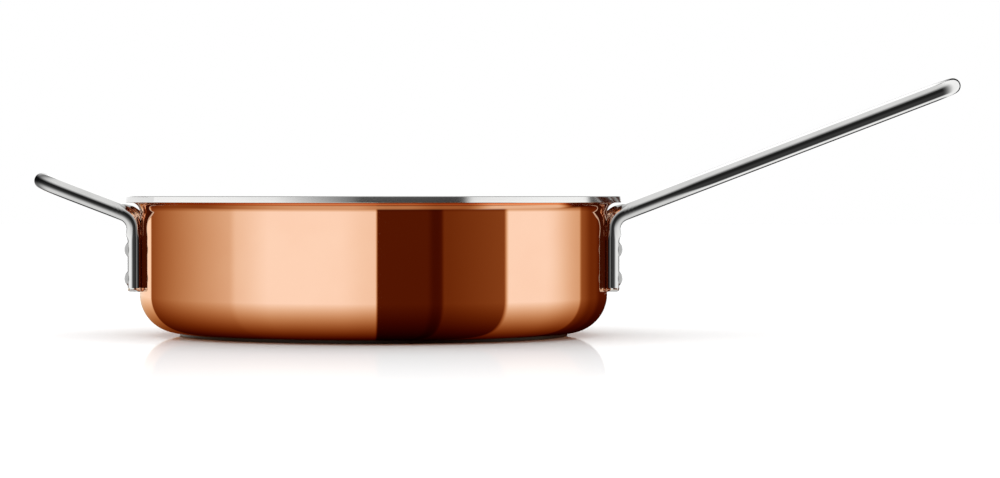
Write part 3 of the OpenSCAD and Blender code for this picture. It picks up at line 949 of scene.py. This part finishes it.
RING_IN, RING_OUT, RING_Z = 126.0, 215.0, 21.0
RING_FALL = math.tan(math.radians(8))
RING_FADE_R = 150.0
RING_TONE = 0.22
RING_STEPS = ((0.43, -70, -22), (-0.17, -8, 6), (-0.14, 10, 22), (-0.3, 74, 90))
RING_PATCH, PATCH_FROM, PATCH_TO = 0.47, (30, 42), (74, 86)
ring_r = np.linspace(RING_IN, RING_OUT, 14)[None, :]
ring_points = around(ring_r, RING_Z - RING_FALL * (ring_r - RING_IN), -180, 180, 180)
ring_angle = np.linspace(-180, 180, 181)[:, None] + 0 * ring_r
ring_tone = RING_TONE + sum(amount * ease(ring_angle, low, high)
                            for amount, low, high in RING_STEPS)
ring_tone += RING_PATCH * ease(ring_angle, *PATCH_FROM) * (1 - ease(ring_angle, *PATCH_TO))
ring_light, wire = paint_tree("ring_light")
lit_card(wire, warm_light(kept(wire, "tone")), kept(wire, "cover"))
ring_cover = 1 - ease(ring_r, RING_FADE_R, RING_OUT) + 0 * ring_angle
ring = stage_sheet("flare_ring", ring_points, {"tone": ring_tone, "cover": ring_cover})
ring.data.materials.append(ring_light)

# Lid card
# A small white card beside the lid's left end keeps the helper handle out of its
# mirror-bright edge.

COLLAR_R = 131.0
COLLAR_TONE = 0.95
COLLAR_REACH = 0.016
COLLAR_ZS, COLLAR_SPAN = (68.6, 72.6), (-96, -60)
collar_light, wire = paint_tree("collar_light")
near_by = wire.maths("LESS_THAN", wire.node("ShaderNodeLightPath", out="Ray Length"),
                     COLLAR_REACH)
lit_card(wire, (COLLAR_TONE,) * 3 + (1,), near_by)
collar = stage_sheet("lid_collar",
                     around(COLLAR_R, np.array([COLLAR_ZS]), *COLLAR_SPAN, 24), {})
collar.data.materials.append(collar_light)

# Floor
# Matt white paper, a little glossy near the pan and only where it is seen at a grazing
# angle. It takes the pan's shadow, and mirror metal sees the studio through it.

FLOOR = 6.0
FLOOR_Z = -0.0001
GLOSS_ROUGH = 0.03
GLOSS_R, GLOSS_FADE, GLOSS_POWER = 0.60, 0.45, 1.6
GLOSS_SHARE, GLOSS_MOST = 0.37, 0.33
GRAZING = (0.88, 0.94)
floor_mesh = bpy.data.meshes.new("floor")
floor_mesh.from_pydata([(x * FLOOR, y * FLOOR, FLOOR_Z)
                        for x, y in ((-1, -1), (1, -1), (1, 1), (-1, 1))],
                       [], [(0, 1, 2, 3)])
floor = bpy.data.objects.new("floor", floor_mesh)
bpy.context.scene.collection.objects.link(floor)
paper, sheet = paint_tree("white_floor")
spot = sheet.node("ShaderNodeTexCoord", out="Object")
from_middle = sheet.node("ShaderNodeVectorMath", (spot,), out="Value", operation="LENGTH")
matt = sheet.node("ShaderNodeBsdfDiffuse", {"Color": WHITE})
gloss = sheet.node("ShaderNodeBsdfGlossy", {"Color": WHITE, "Roughness": GLOSS_ROUGH})
fading = sheet.maths("MAXIMUM", (GLOSS_R - from_middle) / GLOSS_FADE, 0.0)
grazing = sheet.node("ShaderNodeLayerWeight", (0.5,), out="Facing").step(*GRAZING)
share = sheet.maths("MINIMUM", GLOSS_SHARE * fading ** GLOSS_POWER, GLOSS_MOST) * grazing
sheet_light = sheet.node("ShaderNodeMixShader", (share, matt, gloss))
clear = sheet.node("ShaderNodeBsdfTransparent")
from_gloss = sheet.node("ShaderNodeLightPath", out="Is Glossy Ray")
sheet.node("ShaderNodeOutputMaterial",
           {"Surface": sheet.node("ShaderNodeMixShader", (from_gloss, sheet_light, clear))})
floor_mesh.materials.append(paper)

# Camera
# The camera stands level with the lid, 1.6 m from the pan's axis, and looks slightly
# down; the pan is left of the picture's middle.

PICTURE_W = 1000
SENSOR_W = 36
CAMERA_Y = -1.6
FAR_CLIP = 50
FOCAL_PX = 3048
RIM_ROW = 196.2
MIDDLE_ROW = 239
AXIS_COLUMN = 373.5
camera_data = bpy.data.cameras.new("camera")
camera_data.sensor_width = SENSOR_W
camera_data.lens = FOCAL_PX * SENSOR_W / PICTURE_W
camera_data.shift_x = (PICTURE_W / 2 - AXIS_COLUMN) / PICTURE_W
camera_data.clip_end = FAR_CLIP
camera = bpy.data.objects.new("camera", camera_data)
camera.location = (0, CAMERA_Y, LID_TOP * MM)
look_down = math.atan((MIDDLE_ROW - RIM_ROW) / FOCAL_PX)
camera.rotation_euler = (math.pi / 2 - look_down, 0, 0)
bpy.context.scene.collection.objects.link(camera)
bpy.context.scene.camera = camera
bpy.context.scene.view_settings.view_transform = "Standard"
